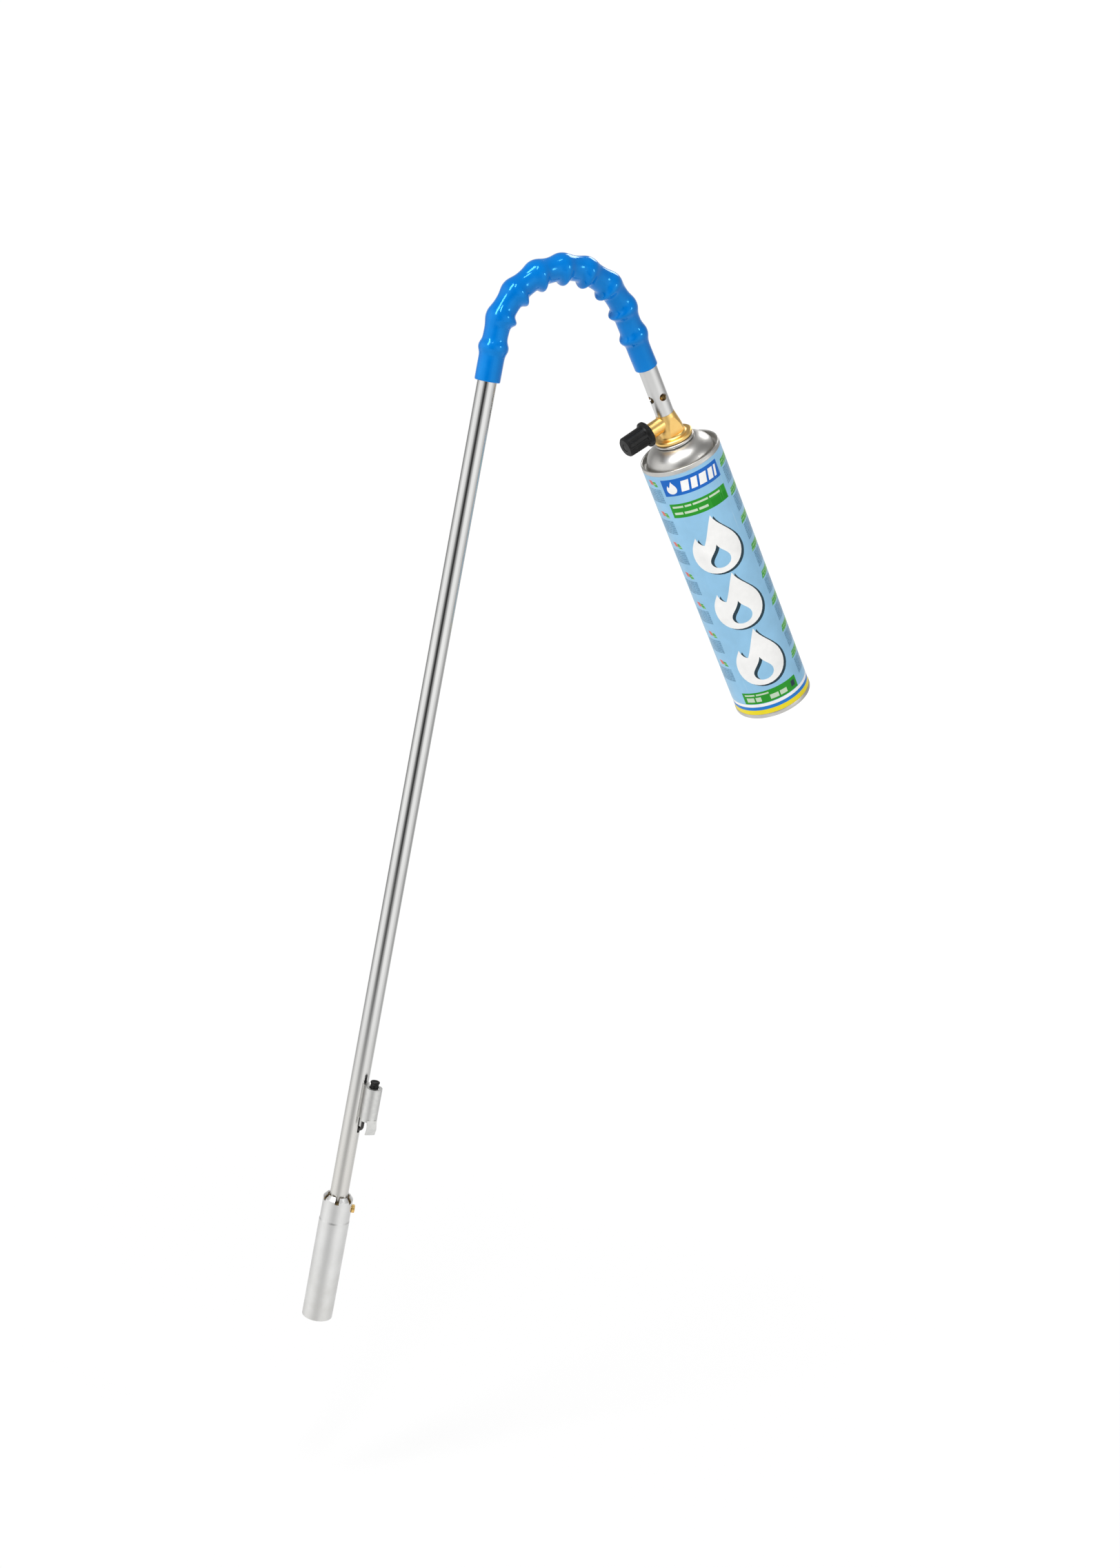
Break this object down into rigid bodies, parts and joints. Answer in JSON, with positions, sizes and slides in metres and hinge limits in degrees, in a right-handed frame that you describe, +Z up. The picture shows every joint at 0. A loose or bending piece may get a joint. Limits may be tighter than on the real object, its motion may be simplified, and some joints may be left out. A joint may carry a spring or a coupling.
{
  "type": "propane torch",
  "caption": "Cane-shaped gas torch: a bent steel lance with a ribbed grip sleeve, side valve, screw-on gas cartridge, piezo igniter and tubular burner head.",
  "frame": {"origin": "on the tube's centre line inside the grip, where the straight lance meets the hand bend", "axes": "+Z up along the straight lance, away from the burner; +X from the lance towards the gas cartridge; the bend lies in the XZ plane"},
  "size_m": [0.3737, 0.0666, 0.8783],
  "materials": {
    "polished_stainless": "polished drawn stainless tube",
    "burner_steel": "satin steel tube",
    "sheet_steel": "bright zinc-plated sheet",
    "blue_vinyl": "soft glossy blue vinyl",
    "brass": "turned brass",
    "black_plastic": "moulded black plastic",
    "can_print": "light blue lacquered print",
    "tinplate": "bright tinplate",
    "spring_steel": "spring wire",
    "seal_rubber": "black nitrile rubber",
    "lead_silicone": "dark grey silicone lead",
    "ceramic": "glazed white ceramic",
    "electrode_wire": "heat-resistant wire"
  },
  "bodies": {
    "torch": {"lance_tube": "polished_stainless", "grip_sleeve": "blue_vinyl", "burner_shroud": "burner_steel", "nozzle_body": "brass", "flame_holder": "burner_steel", "clamp_screw": "brass", "electrode_insulator": "ceramic", "electrode": "electrode_wire", "igniter_clip": "sheet_steel", "piezo_body": "black_plastic", "piezo_crystal": "ceramic", "button_spring": "spring_steel", "ignition_lead": "lead_silicone", "valve_body": "brass", "gas_jet": "brass", "jet_filter": "brass", "opener_pin": "brass", "cartridge_seal": "seal_rubber", "gland_screw": "brass"},
    "spindle_seal": {"spindle_o_ring": "seal_rubber"},
    "knob": {"control_knob": "black_plastic", "valve_spindle": "brass", "knob_screw": "spring_steel", "knob_cap": "black_plastic"},
    "button": {"piezo_button": "black_plastic"},
    "cartridge_valve": {"cartridge_stem": "brass", "stem_gasket": "seal_rubber", "stem_spring": "spring_steel"},
    "cartridge": {"can_body": "can_print", "can_dome": "tinplate", "can_base": "tinplate", "valve_cup": "tinplate", "cup_gasket": "seal_rubber"}
  },
  "joints": [
    {"name": "spindle_travel", "type": "slide", "parent": "torch", "child": "spindle_seal", "axis": [-0.7934, 0, -0.6088], "range_m": [0, 0.0024]},
    {"name": "knob_turn", "type": "hinge", "parent": "spindle_seal", "child": "knob", "pos_m": [0.16952, 0, -0.03975], "axis": [-0.7934, 0, -0.6088], "range_deg": [0, 1080]},
    {"name": "button_press", "type": "slide", "parent": "torch", "child": "button", "axis": [0, 0, -1], "range_m": [0, 0.0045], "stiffness_N_per_m": 600, "springref_m": -0.0008, "deforming": ["button_spring"]},
    {"name": "cartridge_travel", "type": "slide", "parent": "torch", "child": "cartridge_valve", "axis": [0.6088, 0, -0.7934], "range_m": [0, 0.00907]},
    {"name": "cartridge_turn", "type": "hinge", "parent": "cartridge_valve", "child": "cartridge", "pos_m": [0.18699, 0, -0.06252], "axis": [0.6088, 0, -0.7934], "range_deg": [0, 3600]}
  ],
  "couplings": [
    {"joint": "knob_turn", "follows": "spindle_travel", "rad_per_m": 7854},
    {"joint": "cartridge_turn", "follows": "cartridge_travel", "rad_per_m": 6927.4}
  ]
}
